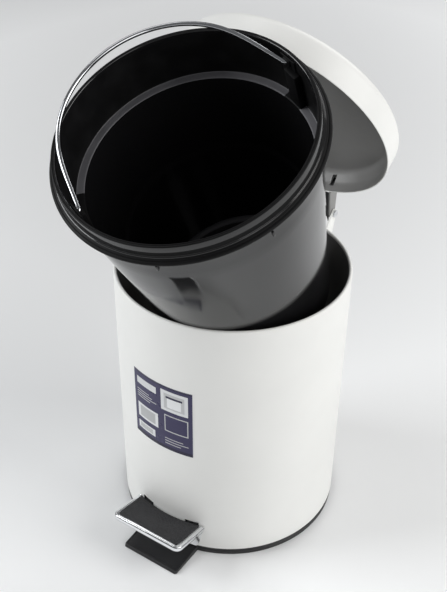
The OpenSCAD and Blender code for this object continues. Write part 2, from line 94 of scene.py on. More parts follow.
AT_PIVOT = Matrix.Translation(PIVOT) @ turn(-PEDAL_SLOPE, "X")
AT_HINGE = (Matrix.Translation(HINGE) @ turn(-LID_OPEN, "X")
            @ Matrix.Translation((0, -HINGE.y, RIM_RISE)))
AT_BUCKET = (Matrix.Translation(EAR + BUCKET_AXIS * EAR_DROP)
             @ turn(BUCKET_TURN, "Z") @ turn(BUCKET_TILT, "X"))
AT_BAIL = (AT_BUCKET @ turn(BAIL_TURN, "Z")
           @ Matrix.Translation((0, 0, -EAR_DROP)) @ turn(BAIL_LIFT, "X"))
UPRIGHT = Matrix.Identity(4)
# Stands a flat plate on edge: its x runs along Y, its y along Z, its thickness along X.
SIDEWAYS = Matrix(((0, 0, 1, 0), (1, 0, 0, 0), (0, 1, 0, 0), (0, 0, 0, 1)))


# ---- shader maths ----

class Value:
    """A socket of a finish that takes part in sums."""

    def __init__(self, finish, socket):
        self.finish, self.socket = finish, socket

    def sum(self, operation, first, second=0.0):
        return self.finish.node("ShaderNodeMath", {"operation": operation}, {0: first, 1: second})

    def __add__(self, other):
        return self.sum("ADD", self, other)

    def __radd__(self, other):
        return self.sum("ADD", other, self)

    def __sub__(self, other):
        return self.sum("SUBTRACT", self, other)

    def __rsub__(self, other):
        return self.sum("SUBTRACT", other, self)

    def __mul__(self, other):
        return self.sum("MULTIPLY", self, other)

    def __rmul__(self, other):
        return self.sum("MULTIPLY", other, self)

    def __gt__(self, other):
        return self.sum("GREATER_THAN", self, other)

    def __lt__(self, other):
        return self.sum("LESS_THAN", self, other)

    def apply(self, operation, second=0.0):
        return self.sum(operation, self, second)


class Finish:
    """A material, its shader and a short way to add nodes to it."""

    def __init__(self, name, color, roughness, metallic=0.0, **more):
        self.material = bpy.data.materials.new(name)
        self.material.use_nodes = True
        self.tree = self.material.node_tree
        self.tree.nodes.clear()
        self.shader = self.tree.nodes.new("ShaderNodeBsdfPrincipled")
        output = self.tree.nodes.new("ShaderNodeOutputMaterial")
        self.tree.links.new(self.shader.outputs[0], output.inputs["Surface"])
        self.material.diffuse_color = (*color, 1)
        self.set("Base Color", color)
        self.set("Roughness", roughness)
        self.set("Metallic", metallic)
        for key, value in more.items():
            self.set(key.replace("_", " "), value)

    def put(self, socket, value):
        """Links a value to a socket, or sets the socket to a number or colour."""
        if isinstance(value, Value):
            self.tree.links.new(value.socket, socket)
        elif socket.type == "RGBA":
            socket.default_value = (*value, 1)
        else:
            socket.default_value = value

    def set(self, name, value):
        self.put(self.shader.inputs[name], value)

    def node(self, kind, settings=None, values=None, out=0):
        """Adds a node: its settings first, then the values or links of its sockets."""
        made = self.tree.nodes.new(kind)
        for key, value in (settings or {}).items():
            setattr(made, key, value)
        for key, value in (values or {}).items():
            self.put(made.inputs[key], value)
        return Value(self, made.outputs[out])

    def place(self):
        return self.node("ShaderNodeTexCoord", out="Object")

    def split(self, where=None):
        """The x, y and z of a place, as three values."""
        parts = self.node("ShaderNodeSeparateXYZ", {}, {"Vector": where or self.place()})
        return [Value(self, socket) for socket in parts.socket.node.outputs]

    def stretched(self, scale):
        return self.node("ShaderNodeMapping", {}, {"Vector": self.place(), "Scale": scale})

    def noise(self, scale, detail, where=None):
        return self.node("ShaderNodeTexNoise", {}, {
            "Vector": where or self.place(), "Scale": scale, "Detail": detail})

    def mix(self, factor, first, second):
        """Mixes two colours, through the node's colour sockets."""
        return self.node("ShaderNodeMix", {"data_type": "RGBA"},
                         {0: factor, 6: first, 7: second}, out=2)

    def between(self, value, low, high, start=0.0, stop=1.0):
        """Runs from start to stop while a value goes from low to high."""
        return self.node("ShaderNodeMapRange", {"clamp": True}, {
            "Value": value, "From Min": low, "From Max": high, "To Min": start, "To Max": stop})

    def tone(self, value, low, high, first, last):
        """Lets the colour run from first to last while a value goes from low to high."""
        self.set("Base Color", self.mix(self.between(value, low, high), first, last))

    def gloss(self, value, low, high, first, last):
        """Lets the roughness run from first to last while a value goes from low to high."""
        self.set("Roughness", self.between(value, low, high, first, last))

    def bump(self, height, strength, distance):
        self.set("Normal", self.node("ShaderNodeBump", {}, {
            "Height": height, "Strength": strength, "Distance": distance}))
        return self


def shade(color, factor):
    """The colour made lighter or darker by a factor."""
    return tuple(c * factor for c in color)


# ---- finishes ----

CHROME = (0.86, 0.87, 0.89)


def powder_coat(name, color):
    """The faint unevenness of tone and gloss of a powder coat, without its orange peel."""
    coat = Finish(name, color, 0.4, Specular_IOR_Level=0.5)
    coat.tone(coat.noise(14, 3), 0.3, 0.7, shade(color, 0.975), shade(color, 1.015))
    coat.gloss(coat.noise(60, 4), 0.3, 0.7, 0.36, 0.46)
    return coat


def satin_coat(name, color):
    """Powder coat with a fine orange peel."""
    coat = powder_coat(name, color)
    return coat.bump(coat.noise(1500, 2), 0.12, 0.0002)


def seamed_coat(name, color):
    """The body's powder coat, over the fine upright seam at its back."""
    coat = powder_coat(name, color)
    across, along, _ = coat.split()
    seam = coat.between(across.apply("ABSOLUTE"), 0.0002, 0.0011, 1.0, 0.0) * (along > 0.0)
    return coat.bump(coat.noise(1500, 2) * 0.12 - seam * 2.0, 1.0, 0.0002)


def gloss_plastic(name, color, low, high):
    """Glossy moulded plastic with fine handling scuffs and a trace of dust."""
    plastic = Finish(name, color, low, Specular_IOR_Level=0.55)
    haze = plastic.noise(28, 4)
    scuff = plastic.between(plastic.noise(1.0, 3, plastic.stretched((90, 90, 900))), 0.6, 0.8)
    plastic.set("Roughness", plastic.between(haze, 0.35, 0.7, low, high) + scuff * 0.08)
    plastic.tone(haze, 0.3, 0.8, color, shade(color, 1.15))
    return plastic.bump(plastic.noise(160, 2), 0.02, 0.0002)


def ribbed_band(name, color):
    """The flange's dull outer band, with the marks of its wear."""
    band = Finish(name, color, 0.55, Specular_IOR_Level=0.14)
    wear = band.noise(60, 4)
    band.gloss(wear, 0.3, 0.7, 0.46, 0.62)
    band.tone(wear, 0.45, 0.8, color, shade(color, 1.8))
    return band.bump(band.noise(900, 2), 0.25, 0.0003)


def dusty_ledge_painted_sheen(name, color):
    """The bucket's inner ledge, dulled by wear and a film of dust; its pale colour is partly dust
    and partly a painted sheen of the light falling on the ledge.
    """
    ledge = Finish(name, color, 0.5, Specular_IOR_Level=0.5)
    dust = ledge.noise(45, 4)
    ledge.gloss(dust, 0.3, 0.7, 0.42, 0.6)
    ledge.tone(dust, 0.3, 0.75, color, shade(color, 1.35))
    return ledge.bump(ledge.noise(1200, 2), 0.15, 0.0002)


def moulded_plastic(name, color):
    """Black moulding with the fine spark grain of its mould."""
    plastic = Finish(name, color, 0.5)
    plastic.gloss(plastic.noise(45, 3), 0.3, 0.7, 0.42, 0.56)
    plastic.tone(plastic.noise(25, 3), 0.3, 0.8, color, shade(color, 1.5))
    return plastic.bump(plastic.noise(1900, 2), 0.25, 0.0003)


def chrome(name, tint=CHROME):
    """Polished plating with a light veil of handling marks."""
    plated = Finish(name, tint, 0.1, metallic=1.0)
    plated.gloss(plated.noise(90, 5), 0.4, 0.75, 0.07, 0.2)
    return plated.bump(plated.noise(320, 3), 0.03, 0.0002)


def plated_skirt_painted_shade(name):
    """The pedal's plating, with a fine dark line of painted shade under each rolled edge of its
    skirt.
    """
    plated = chrome(name)
    slope = math.radians(PEDAL_SLOPE)
    _, along, up = plated.split()
    height = ((up - PIVOT.z / 1000) * math.cos(slope)
              + (along - PIVOT.y / 1000) * math.sin(slope))

    def line(low, start, stop, high):
        """A band of heights, full between start and stop."""
        return (plated.between(height, low, start)
                * plated.between(height, stop, high, 1.0, 0.0))

    # Painted shade: thin dark lines, one under the top rolled edge and one near the skirt's
    # bottom edge.
    upper = line(0.0017, 0.0022, 0.0024, 0.003)
    lower = line(-0.0022, -0.0019, -0.0016, -0.0012)
    lines = upper.apply("MAXIMUM", lower)
    plated.set("Base Color", plated.mix(lines, CHROME, (0.14, 0.14, 0.15)))
    return plated


def drawn_steel(name, stretch):
    """Steel with fine lines along the way it was drawn or rolled."""
    tint = (0.66, 0.67, 0.69)
    steel = Finish(name, tint, 0.3, metallic=1.0)
    line = steel.noise(1.0, 4, steel.stretched(stretch))
    steel.gloss(line, 0.3, 0.7, 0.24, 0.42)
    steel.tone(line, 0.3, 0.7, shade(tint, 0.9), shade(tint, 1.06))
    return steel.bump(line, 0.15, 0.0002)


def zinc_plate(name, tint=(0.62, 0.63, 0.66)):
    """Dull zinc with its pale and dark clouds."""
    zinc = Finish(name, tint, 0.4, metallic=1.0)
    cloud = zinc.noise(160, 5)
    zinc.gloss(cloud, 0.3, 0.7, 0.32, 0.52)
    zinc.tone(cloud, 0.35, 0.65, shade(tint, 0.86), shade(tint, 1.08))
    return zinc.bump(zinc.noise(700, 3), 0.12, 0.0002)


def grained_rubber(name, color):
    """Rubber with a pebble grain, paler where feet polish it."""
    rubber = Finish(name, color, 0.7, Specular_IOR_Level=0.3)
    pebble = rubber.node("ShaderNodeTexVoronoi", {"feature": "SMOOTH_F1"}, {
        "Vector": rubber.place(), "Scale": 900.0, "Smoothness": 0.6})
    rubber.gloss(rubber.noise(40, 4), 0.35, 0.7, 0.56, 0.78)
    rubber.tone(pebble, 0.1, 0.7, shade(color, 1.5), shade(color, 0.7))
    return rubber.bump(1.0 - pebble, 0.7, 0.0005)


def printed_sticker(name, field, paper):
    """Gloss paper printed with plain blocks and bars, on the piece's own UV map."""
    sticker = Finish(name, field, 0.45, Specular_IOR_Level=0.3)
    across, up, _ = sticker.split(sticker.node("ShaderNodeUVMap", {"uv_map": "print"}))

    def block(u0, u1, v0, v1):
        """A filled block, in shares of the sticker's width and height."""
        return (across > u0) * (across < u1) * (up > v0) * (up < v1)

    def bars(u0, u1, v0, v1, count, duty, upright=False):
        """Rows of short strokes, like small print seen from afar."""
        way, side = (across, up) if upright else (up, across)
        low, high, left, right = (u0, u1, v0, v1) if upright else (v0, v1, u0, u1)
        place = (way - low) * (count / (high - low))
        stroke = place.apply("FRACT") < duty
        ragged = sticker.node("ShaderNodeTexWhiteNoise", {"noise_dimensions": "1D"}, {
            "W": place.apply("FLOOR") + 3.0})
        end = right - ragged * ((right - left) * (0.0 if upright else 0.4))
        return block(u0, u1, v0, v1) * stroke * (side < end)

    frame_line = 1.0 - block(0.585, 0.915, 0.315, 0.545)
    layers = [
        (block(0.0, 1.0, 0.0, 0.055), shade(field, 0.45)),
        (block(0.0, 1.0, 0.965, 1.0), shade(field, 0.6)),
        (block(0.52, 0.93, 0.62, 0.93), paper),
        (block(0.57, 0.88, 0.66, 0.89), shade(paper, 0.72)),
        (block(0.62, 0.83, 0.68, 0.82), shade(paper, 1.1)),
        (block(0.60, 0.85, 0.82, 0.85), shade(field, 0.6)),
        (block(0.07, 0.44, 0.80, 0.90), shade(paper, 0.9)),
        (bars(0.07, 0.44, 0.60, 0.74, 4, 0.3), shade(paper, 0.8)),
        (block(0.57, 0.93, 0.30, 0.56) * frame_line, shade(paper, 0.7)),
        (block(0.07, 0.46, 0.28, 0.50), paper),
        (block(0.12, 0.41, 0.31, 0.47), shade(paper, 0.62)),
        (block(0.07, 0.40, 0.10, 0.21), paper),
        (bars(0.11, 0.36, 0.12, 0.19, 17, 0.5, True), shade(paper, 0.35)),
        (bars(0.57, 0.93, 0.10, 0.22, 3, 0.3), shade(paper, 0.7)),
    ]
    printed = field
    for mask, ink in layers:
        printed = sticker.mix(mask, printed, ink)
    edge = 1.0 - block(0.008, 0.992, 0.006, 0.994)
    sticker.set("Base Color", sticker.mix(edge, printed, paper))
    sticker.gloss(sticker.noise(70, 3), 0.3, 0.7, 0.26, 0.38)
    return sticker.bump(sticker.noise(260, 2), 0.05, 0.0002)


# ---- shapes ----

def verts_of(geom):
    """The vertices among the results of a mesh operation."""
    return [g for g in geom if isinstance(g, bmesh.types.BMVert)]


def edges_of(geom):
    """The edges among the results of a mesh operation."""
    return [g for g in geom if isinstance(g, bmesh.types.BMEdge)]


def once(items):
    """The items without repeats, in their first order."""
    return list(dict.fromkeys(items))


def rounded(bm, geom, size, segments, affect="EDGES"):
    """Rounds some edges or corners of a shape."""
    bmesh.ops.bevel(bm, geom=geom, offset=size, offset_type="OFFSET", segments=segments,
                    profile=0.5, affect=affect, material=-1)


def outline(corners, flat="Z", segments=6):
    """A bmesh with one flat face: corners are (x, other[, rounding])."""
    bm = bmesh.new()
    groups = {}
    verts = []
    for across, along, *rounding in corners:
        vert = bm.verts.new((across, along, 0) if flat == "Z" else (across, 0, along))
        verts.append(vert)
        if rounding and rounding[0]:
            groups.setdefault(rounding[0], []).append(vert)
    bm.faces.new(verts)
    for size, group in groups.items():
        rounded(bm, group, size, segments, "VERTICES")
    return bm


def tidy(bm):
    """Merges what lies together and turns all faces outward."""
    bmesh.ops.remove_doubles(bm, verts=bm.verts, dist=1e-4)
    bmesh.ops.dissolve_degenerate(bm, edges=bm.edges, dist=1e-4)
    bmesh.ops.recalc_face_normals(bm, faces=bm.faces)
    return bm


def turned(corners, steps=STEPS, segments=6):
    """A closed form turned round the Z axis from corners (radius, height[, rounding])."""
    bm = outline(corners, "Y", segments)
    bmesh.ops.delete(bm, geom=bm.faces[:], context="FACES_ONLY")
    on_axis = [e for e in bm.edges if all(abs(v.co.x) < 1e-5 for v in e.verts)]
    bmesh.ops.delete(bm, geom=on_axis, context="EDGES")
    bmesh.ops.spin(bm, geom=bm.verts[:] + bm.edges[:], cent=(0, 0, 0), axis=(0, 0, 1),
                   angle=TAU, steps=steps, use_merge=True)
    return tidy(bm)


def raised(bm, height):
    """Extrudes the flat faces of an outline upwards into a closed solid."""
    top = bmesh.ops.extrude_face_region(bm, geom=bm.faces[:])["geom"]
    bmesh.ops.translate(bm, vec=(0, 0, height), verts=verts_of(top))
    return tidy(bm)


def block(low, high, edge):
    """A box between two corners, with its edges rounded."""
    low, high = Vector(low), Vector(high)
    bm = bmesh.new()
    bmesh.ops.create_cube(bm, size=1, matrix=Matrix.Translation((low + high) / 2)
                          @ Matrix.Diagonal((*(high - low), 1)))
    rounded(bm, bm.edges[:], edge, 2)
    return tidy(bm)


def moved(bm, matrix):
    """Carries a whole shape to another place."""
    bmesh.ops.transform(bm, matrix=matrix, verts=bm.verts)
    return bm


def joined(*parts):
    """One bmesh that holds all the parts."""
    whole = bmesh.new()
    for part in parts:
        mesh = bpy.data.meshes.new("part")
        part.to_mesh(mesh)
        part.free()
        whole.from_mesh(mesh)
        bpy.data.meshes.remove(mesh)
    return whole


def open_window(bm, x0, x1, z0, z1, side):
    """Opens a window through both skins of a turned wall, on its +Y or -Y side."""
    width = abs(x0) + abs(x1) + 10   # cuts only the faces near the window
    for at, across in (((x0, 0, 0), (1, 0, 0)), ((x1, 0, 0), (1, 0, 0)),
                       ((0, 0, z0), (0, 0, 1)), ((0, 0, z1), (0, 0, 1))):
        near = [f for f in bm.faces if f.calc_center_median().y * side > 0
                and abs(f.calc_center_median().x) < width]
        geom = once(v for f in near for v in f.verts) + once(e for f in near for e in f.edges)
        geom += near
        bmesh.ops.bisect_plane(bm, geom=geom, dist=1e-5, plane_co=at, plane_no=across)
    inside = []
    for face in bm.faces:
        middle = face.calc_center_median()
        if x0 < middle.x < x1 and z0 < middle.z < z1 and middle.y * side > 0:
            inside.append(face)
    bmesh.ops.delete(bm, geom=inside, context="FACES")
    bmesh.ops.bridge_loops(bm, edges=[e for e in bm.edges if e.is_boundary])
    return bm


def tube(radius, at):
    """A ring of vertices round the X axis, the start of a wire."""
    bm = bmesh.new()
    bmesh.ops.create_circle(bm, cap_ends=False, segments=20, radius=radius,
                            matrix=Matrix.Translation(at) @ turn(90, "Y"))
    return bm


def drawn(bm, ring, vec):
    """Extrudes a ring of a wire straight on and gives its new ring."""
    geom = bmesh.ops.extrude_edge_only(bm, edges=ring)["geom"]
    bmesh.ops.translate(bm, vec=vec, verts=verts_of(geom))
    return edges_of(geom)


def bent(bm, ring, centre, axis, angle, steps):
    """Bends a wire on round an axis and gives its new ring."""
    last = bmesh.ops.spin(bm, geom=ring + once(v for e in ring for v in e.verts), cent=centre,
                          axis=axis, angle=math.radians(angle), steps=steps)["geom_last"]
    return edges_of(last)


def capped(bm):
    """Closes the open ends of a wire."""
    bmesh.ops.holes_fill(bm, edges=[e for e in bm.edges if e.is_boundary], sides=0)
    return tidy(bm)


def follow_ring(bm, rear):
    """Draws the straight rear edge of an outline out into the curve y = rear(x)."""
    edge = max(bm.edges, key=lambda e: e.verts[0].co.y + e.verts[1].co.y)
    made = bmesh.ops.subdivide_edges(bm, edges=[edge], cuts=31)
    for vert in verts_of(made["geom_inner"]):
        vert.co.y = rear(vert.co.x)
    return bm


def loft(plans):
    """A closed solid skinned through flat plans that have the same number of corners."""
    for plan in plans[1:-1]:
        bmesh.ops.delete(plan, geom=plan.faces[:], context="FACES_ONLY")
    count = len(plans[0].edges)
    whole = joined(*plans)
    whole.edges.ensure_lookup_table()
    rings = [whole.edges[k * count:(k + 1) * count] for k in range(len(plans))]
    for low, high in zip(rings, rings[1:]):
        bmesh.ops.bridge_loops(whole, edges=[*low, *high])
    bmesh.ops.recalc_face_normals(whole, faces=whole.faces)
    return whole


def crown(radius, height, rise, count):
    """Corners of a shallow dome from its edge to the axis."""
    return [(radius * (1 - k / count), height + rise * (1 - (1 - k / count) ** 2))
            for k in range(count + 1)]


# ---- pieces ----

def piece(name, bm, body, finishes, node, at=UPRIGHT, sharp=34):
    """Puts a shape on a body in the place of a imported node, creased over a sharp angle."""
    bmesh.ops.transform(bm, matrix=MM @ at, verts=bm.verts)
    for face in bm.faces:
        face.smooth = True
    for edge in bm.edges:
        edge.smooth = len(edge.link_faces) == 2 and edge.calc_face_angle() < math.radians(sharp)
    mesh = bpy.data.meshes.new(name)
    bm.to_mesh(mesh)
    bm.free()
    made = bpy.data.objects.new(name, mesh)
    bpy.context.scene.collection.objects.link(made)
    for finish in finishes:
        mesh.materials.append(finish.material)
    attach(made, body)
    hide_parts(node)


def packed(node):
    """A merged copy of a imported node's shape, in metres."""
    bm = bmesh.new()
    bm.from_mesh(frame["nodes"][node].data)
    bmesh.ops.remove_doubles(bm, verts=bm.verts, dist=1e-6)
    bmesh.ops.dissolve_degenerate(bm, edges=bm.edges, dist=1e-7)
    for face in bm.faces:
        face.material_index = 0
    return bm


def refined(name, node, finish, body):
    """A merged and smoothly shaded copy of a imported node, with its finish."""
    piece(name, packed(node), body, [finish], node, at=MM.inverted())


def dress(node, finish):
    """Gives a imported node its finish."""
    made = frame["nodes"][node]
    if not made.material_slots:
        made.data.materials.append(None)
    for held in made.material_slots:
        held.link = "OBJECT"
        held.material = finish.material


STOCK = {}


def stock(name, make, *settings):
    """A finish that several pieces share, made once."""
    if name not in STOCK:
        STOCK[name] = make(name, *settings)
    return STOCK[name]


def white_coat(bin_):
    return stock("white powder coat", satin_coat, tuple(bin_.coat_color))


def grey_coat(bin_):
    return stock("grey inner coat", satin_coat, tuple(bin_.lining_color))


def black_moulding(bin_):
    return stock("black moulding", moulded_plastic, tuple(bin_.moulding_color))


def pin_steel():
    return stock("pin steel", drawn_steel, (40, 900, 900))


def rivet_metal():
    return stock("rivet metal", zinc_plate, (0.72, 0.73, 0.74))


SHELL_LOW, SHELL_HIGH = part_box("body_shell")


def length(name, description, default):
    return FloatProperty(name=name, description=description, default=default, min=0.0,
                         unit="LENGTH", subtype="DISTANCE", precision=4)


def color(name, description, default):
    return FloatVectorProperty(name=name, description=description, default=default, size=3,
                               min=0.0, max=1.0, subtype="COLOR")


class PedalBin(PropertyGroup):
    """Sizes and colours of the bin's finished pieces."""
    body_radius: length("Body radius", "Outside radius of the steel body", SHELL_HIGH.x)
    body_height: length("Body height", "Height of the rolled rim above the floor", SHELL_HIGH.z)
    sheet: length("Sheet", "Thickness of the body's sheet", 0.001)
    bead: length("Rim bead", "Radius of the bead rolled round the rim", 0.00175)
    lid_skirt: length("Lid skirt", "Height of the lid's skirt", 0.020)
    lid_shoulder: length("Lid shoulder", "Radius between the lid's skirt and crown", 0.010)
    lid_crown: length("Lid crown", "Rise of the crowned top over its shoulder", 0.006)
    flange_inset: length("Flange inset", "How far the flange stands inside the body", 0.0002)
    bucket_depth: length("Bucket depth", "Depth of the bucket inside", 0.233)
    ledge_depth: length("Ledge depth", "Depth of the bucket's inner ledge", 0.0469)
    ledge_width: length("Ledge width", "Width of the bucket's inner ledge", 0.0067)
    wire: length("Bail wire", "Radius of the bail's wire", 0.0019)
    pedal_width: length("Pedal width", "Width of the pedal plate", 0.081)
    pedal_out: length("Pedal reach", "Reach of the pedal beyond the body", 0.038)
    foot_width: length("Foot width", "Width of the foot plate", 0.065)
    foot_out: length("Foot reach", "Reach of the foot plate beyond the body", 0.0325)
    pad_border: length("Pad border", "Bright border round the rubber pad", 0.0036)
    coat_color: color("Coat", "White powder coat of the body and lid", (0.80, 0.80, 0.78))
    lining_color: color("Lining", "Grey coat inside the body and lid", (0.225, 0.222, 0.217))
    bucket_color: color("Bucket", "Black plastic of the bucket", (0.0075, 0.0074, 0.008))
    moulding_color: color("Mouldings", "Black plastic of base and lever", (0.010, 0.010, 0.011))
    pad_color: color("Pad", "Rubber of the pedal's pad", (0.028, 0.028, 0.030))
    sticker_color: color("Sticker", "Printed field of the sticker", (0.040, 0.036, 0.090))
    paper_color: color("Paper", "Pale print of the sticker", (0.70, 0.71, 0.72))
    floor_color: color("Floor", "Floor the bin stands on", (0.78, 0.785, 0.79))


class BIN_OT_body(Operator):
    """The round steel body with its rolled rim, slots and dark inside"""
    bl_idname = "pedal_bin.body"
    bl_label = "Body"

    def execute(self, context):
        bin_ = context.scene.pedal_bin
        radius, top = bin_.body_radius * 1000, bin_.body_height * 1000
        sheet, bead = bin_.sheet * 1000, bin_.bead * 1000
        foot = SHELL_LOW.z * 1000
        wall = turned([
            (radius - sheet, foot), (radius, foot), (radius, top, bead),
            (radius - 2 * bead, top, bead), (radius - 2 * bead, top - 2 * bead, bead),
            (radius - sheet, top - 2 * bead, 0.6)])
        slot_x, slot_half, slot_low, slot_high = 26.7, 7.4, 11.8, 41.6
        for x in (-slot_x, slot_x):
            open_window(wall, x - slot_half, x + slot_half, slot_low, slot_high, -1)
        tail_half, tail_low, tail_high = 4.2, 214.5, 260.0
        open_window(wall, -tail_half, tail_half, tail_low, tail_high, 1)
        # Clears the slivers that the windows leave.
        bmesh.ops.remove_doubles(wall, verts=wall.verts, dist=0.05)
        bmesh.ops.dissolve_degenerate(wall, edges=wall.edges, dist=0.02)
        for face in wall.faces:
            middle = face.calc_center_median()
            around = Vector((middle.x, middle.y, 0))
            inward = face.normal.dot(around) < 0 or around.length < radius - sheet * 0.6
            face.material_index = int(inward and middle.z < top - 2 * bead + 0.8)
        seamed = stock("white coat with seam", seamed_coat, tuple(bin_.coat_color))
        piece("body_wall", wall, "can", [seamed, grey_coat(bin_)], "body_shell")
        return {"FINISHED"}


class BIN_OT_base(Operator):
    """The black base, the foot plate and what stands inside on the base"""
    bl_idname = "pedal_bin.base"
    bl_label = "Base"

    def execute(self, context):
        bin_ = context.scene.pedal_bin
        black = black_moulding(bin_)
        refined("base", "base_pan", black, "can")
        low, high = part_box("foot_plate")
        bottom, half = low.z * 1000, bin_.foot_width * 500
        reach = (bin_.body_radius + bin_.foot_out) * 1000
        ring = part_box("base_pan")[1].x * 1000 + 0.05
        foot = follow_ring(outline([
            (-half, -ring * 0.95), (-half, -reach, 2.5), (half, -reach, 2.5),
            (half, -ring * 0.95)]), lambda x: -math.sqrt(ring ** 2 - x * x))
        raised(foot, (high.z - low.z) * 1000)
        moved(foot, Matrix.Translation((0, 0, bottom)))
        top = max(foot.faces, key=lambda f: f.calc_center_median().z)
        # The top settles all over, and dips and draws in at its nose.
        settle, nose, dip, draw = 1.4, 12, 2.2, 1.2
        for vert in foot.verts:
            if vert.co.z > bottom + 1:
                at_nose = vert.co.y < -reach + nose
                vert.co.z -= settle + dip * at_nose
                vert.co.y += draw * at_nose
        rim = [e for e in top.edges if e.calc_face_angle() > 0.5
               and (e.verts[0].co.y + e.verts[1].co.y) / 2 < -120]
        rounded(foot, rim, 0.5, 3)
        top = max((f for f in foot.faces if f.normal.z > 0.9), key=lambda f: f.calc_area())
        for thickness, depth in ((1.3, 0.0), (0.5, -0.6)):
            bmesh.ops.inset_region(foot, faces=[top], thickness=thickness, depth=depth)
        piece("foot_plate", foot, "can", [black], "foot_plate")
        rubber = stock("foot rubber", grained_rubber, shade(tuple(bin_.pad_color), 1.2))
        dress("rubber_feet", rubber)
        zinc = stock("zinc plate", zinc_plate)
        refined("pivot_bracket", "pivot_bracket", zinc, "can")
        refined("bracket_screws", "bracket_screws", zinc, "can")
        refined("pivot_pin", "pivot_pin", pin_steel(), "can")
        refined("rod_guides", "rod_guides", black, "can")
        return {"FINISHED"}


class BIN_OT_hinge(Operator):
    """The hinge bracket at the back with its pin and rivets"""
    bl_idname = "pedal_bin.hinge"
    bl_label = "Hinge"

    def execute(self, context):
        bin_ = context.scene.pedal_bin
        bracket = moved(packed("hinge_bracket"), MM.inverted())
        # Draws the eyes in round the pin, and lowers the front of the web.
        eye, web_drop = 4.6, 12
        for vert in bracket.verts:
            away = Vector((vert.co.y - HINGE.y, vert.co.z - HINGE.z))
            if 5.0 < away.length < 9.0:
                vert.co.y = HINGE.y + away.x * eye / away.length
                vert.co.z = HINGE.z + away.y * eye / away.length
            elif vert.co.z > HINGE.z - 10 and vert.co.y < HINGE.y - 10:
                vert.co.z -= web_drop
        piece("hinge_bracket", bracket, "can", [white_coat(bin_)], "hinge_bracket")
        refined("hinge_pin", "hinge_pin", pin_steel(), "can")
        refined("shell_rivets", "shell_rivets", rivet_metal(), "can")
        return {"FINISHED"}


class BIN_OT_sticker(Operator):
    """The printed sticker on the front of the body"""
    bl_idname = "pedal_bin.sticker"
    bl_label = "Sticker"

    def execute(self, context):
        bin_ = context.scene.pedal_bin
        low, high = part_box("label")
        gap, paper = 0.04, 0.2
        radius = bin_.body_radius * 1000 + gap
        start, sweep = -20.4, 35.9   # degrees round the body
        bm = outline([
            (radius, low.z * 1000), (radius + paper, low.z * 1000),
            (radius + paper, high.z * 1000), (radius, high.z * 1000)], "Y")
        moved(bm, turn(start - 90, "Z"))
        bmesh.ops.spin(bm, geom=bm.verts[:] + bm.edges[:] + bm.faces[:], cent=(0, 0, 0),
                       axis=(0, 0, 1), angle=math.radians(sweep), steps=24)
        bmesh.ops.recalc_face_normals(bm, faces=bm.faces)
        layer = bm.loops.layers.uv.new("print")
        for face in bm.faces:
            for loop in face.loops:
                at = loop.vert.co
                angle = math.degrees(math.atan2(at.x, -at.y))
                loop[layer].uv = ((angle - start) / sweep,
                                  (at.z / 1000 - low.z) / (high.z - low.z))
        printed = stock("printed paper", printed_sticker, tuple(bin_.sticker_color),
                        tuple(bin_.paper_color))
        piece("sticker", bm, "can", [printed], "label")
        return {"FINISHED"}


class BIN_OT_pedal(Operator):
    """The chromed pedal plate with its rubber pad, and the lever that carries it"""
    bl_idname = "pedal_bin.pedal"
    bl_label = "Pedal"

    def execute(self, context):
        bin_ = context.scene.pedal_bin
        slope = math.radians(PEDAL_SLOPE)
        half, border = bin_.pedal_width * 500, bin_.pad_border * 1000
        front = -((bin_.body_radius + bin_.pedal_out) * 1000 + PIVOT.y) / math.cos(slope)
        gap, corner = 1.6, 7

        def plan(inset, height, rear_inset):
            """The pedal's plan at a height, hollowed at the back to follow the body."""
            ring = bin_.body_radius * 1000 + gap + rear_inset

            def rear(x):
                back = -math.sqrt(ring ** 2 - x * x) - PIVOT.y
                return (back - height * math.sin(slope)) / math.cos(slope)
            side = half - inset
            flat = follow_ring(outline([
                (-side, rear(side)), (-side, front + inset, corner - inset),
                (side, front + inset, corner - inset), (side, rear(side))]), rear)
            return moved(flat, Matrix.Translation((0, 0, height)))

        def lofted(rings):
            """A solid through plans of one count, from (inset, height, rear inset)."""
            return loft([plan(*ring) for ring in rings])

        tray = lofted([
            (1.0, 2.0, 0.9), (1.3, -1.2, 0.9), (0.9, -1.9, 0.5), (0.55, -1.8, 0.15),
            (0.3, -1.2, 0), (0, 1.9, 0), (0.12, 2.6, 0.05), (0.5, 3.1, 0.1), (1.1, 3.35, 0.2),
            (1.5, 3.2, 0.3), (1.8, 3.2, 0.35), (2.3, 3.5, 0.45), (2.9, 3.5, 0.55),
            (border - 0.3, 3.2, 0.7), (border, 3.0, 0.75)])
        rear = max(v.co.y for v in tray.verts if abs(v.co.x) > half - 2) - 1.4
        sheet, under = 1.1, -1.0
        cheeks = []
        for x in (-half + 0.2, half - 0.2 - sheet):
            cheek = outline([(rear - 1, under), (rear - 6, -13.0, 1.5), (rear - 10, -13.0, 1.5),
                             (rear - 24, under)])
            cheeks.append(moved(raised(cheek, sheet), Matrix.Translation((x, 0, 0)) @ SIDEWAYS))
        bright = stock("chrome plating", plated_skirt_painted_shade)
        piece("pedal_plate", joined(tray, *cheeks), "pedal", [bright], "pedal_plate",
              at=AT_PIVOT, sharp=50)

        pad = lofted([
            (border + 0.1, 2.9, 0.9), (border + 0.1, 4.5, 0.9), (border + 0.25, 4.85, 1.05),
            (border + 0.6, 5.0, 1.4), (border + 2.8, 5.0, 3.6), (border + 3.05, 4.75, 3.85),
            (border + 3.35, 4.75, 4.15), (border + 3.6, 5.0, 4.4)])
        # Leaves the bright border wider at the sides.
        side_gap = 1.1
        for vert in pad.verts:
            vert.co.x *= 1 - side_gap / (half - border)
        rubber = stock("pebbled rubber", grained_rubber, tuple(bin_.pad_color))
        piece("pedal_pad", pad, "pedal", [rubber], "pedal_pad", at=AT_PIVOT)
        steel = stock("lever steel", drawn_steel, (700, 40, 700))
        refined("pedal_lever", "pedal_lever", steel, "pedal")
        return {"FINISHED"}


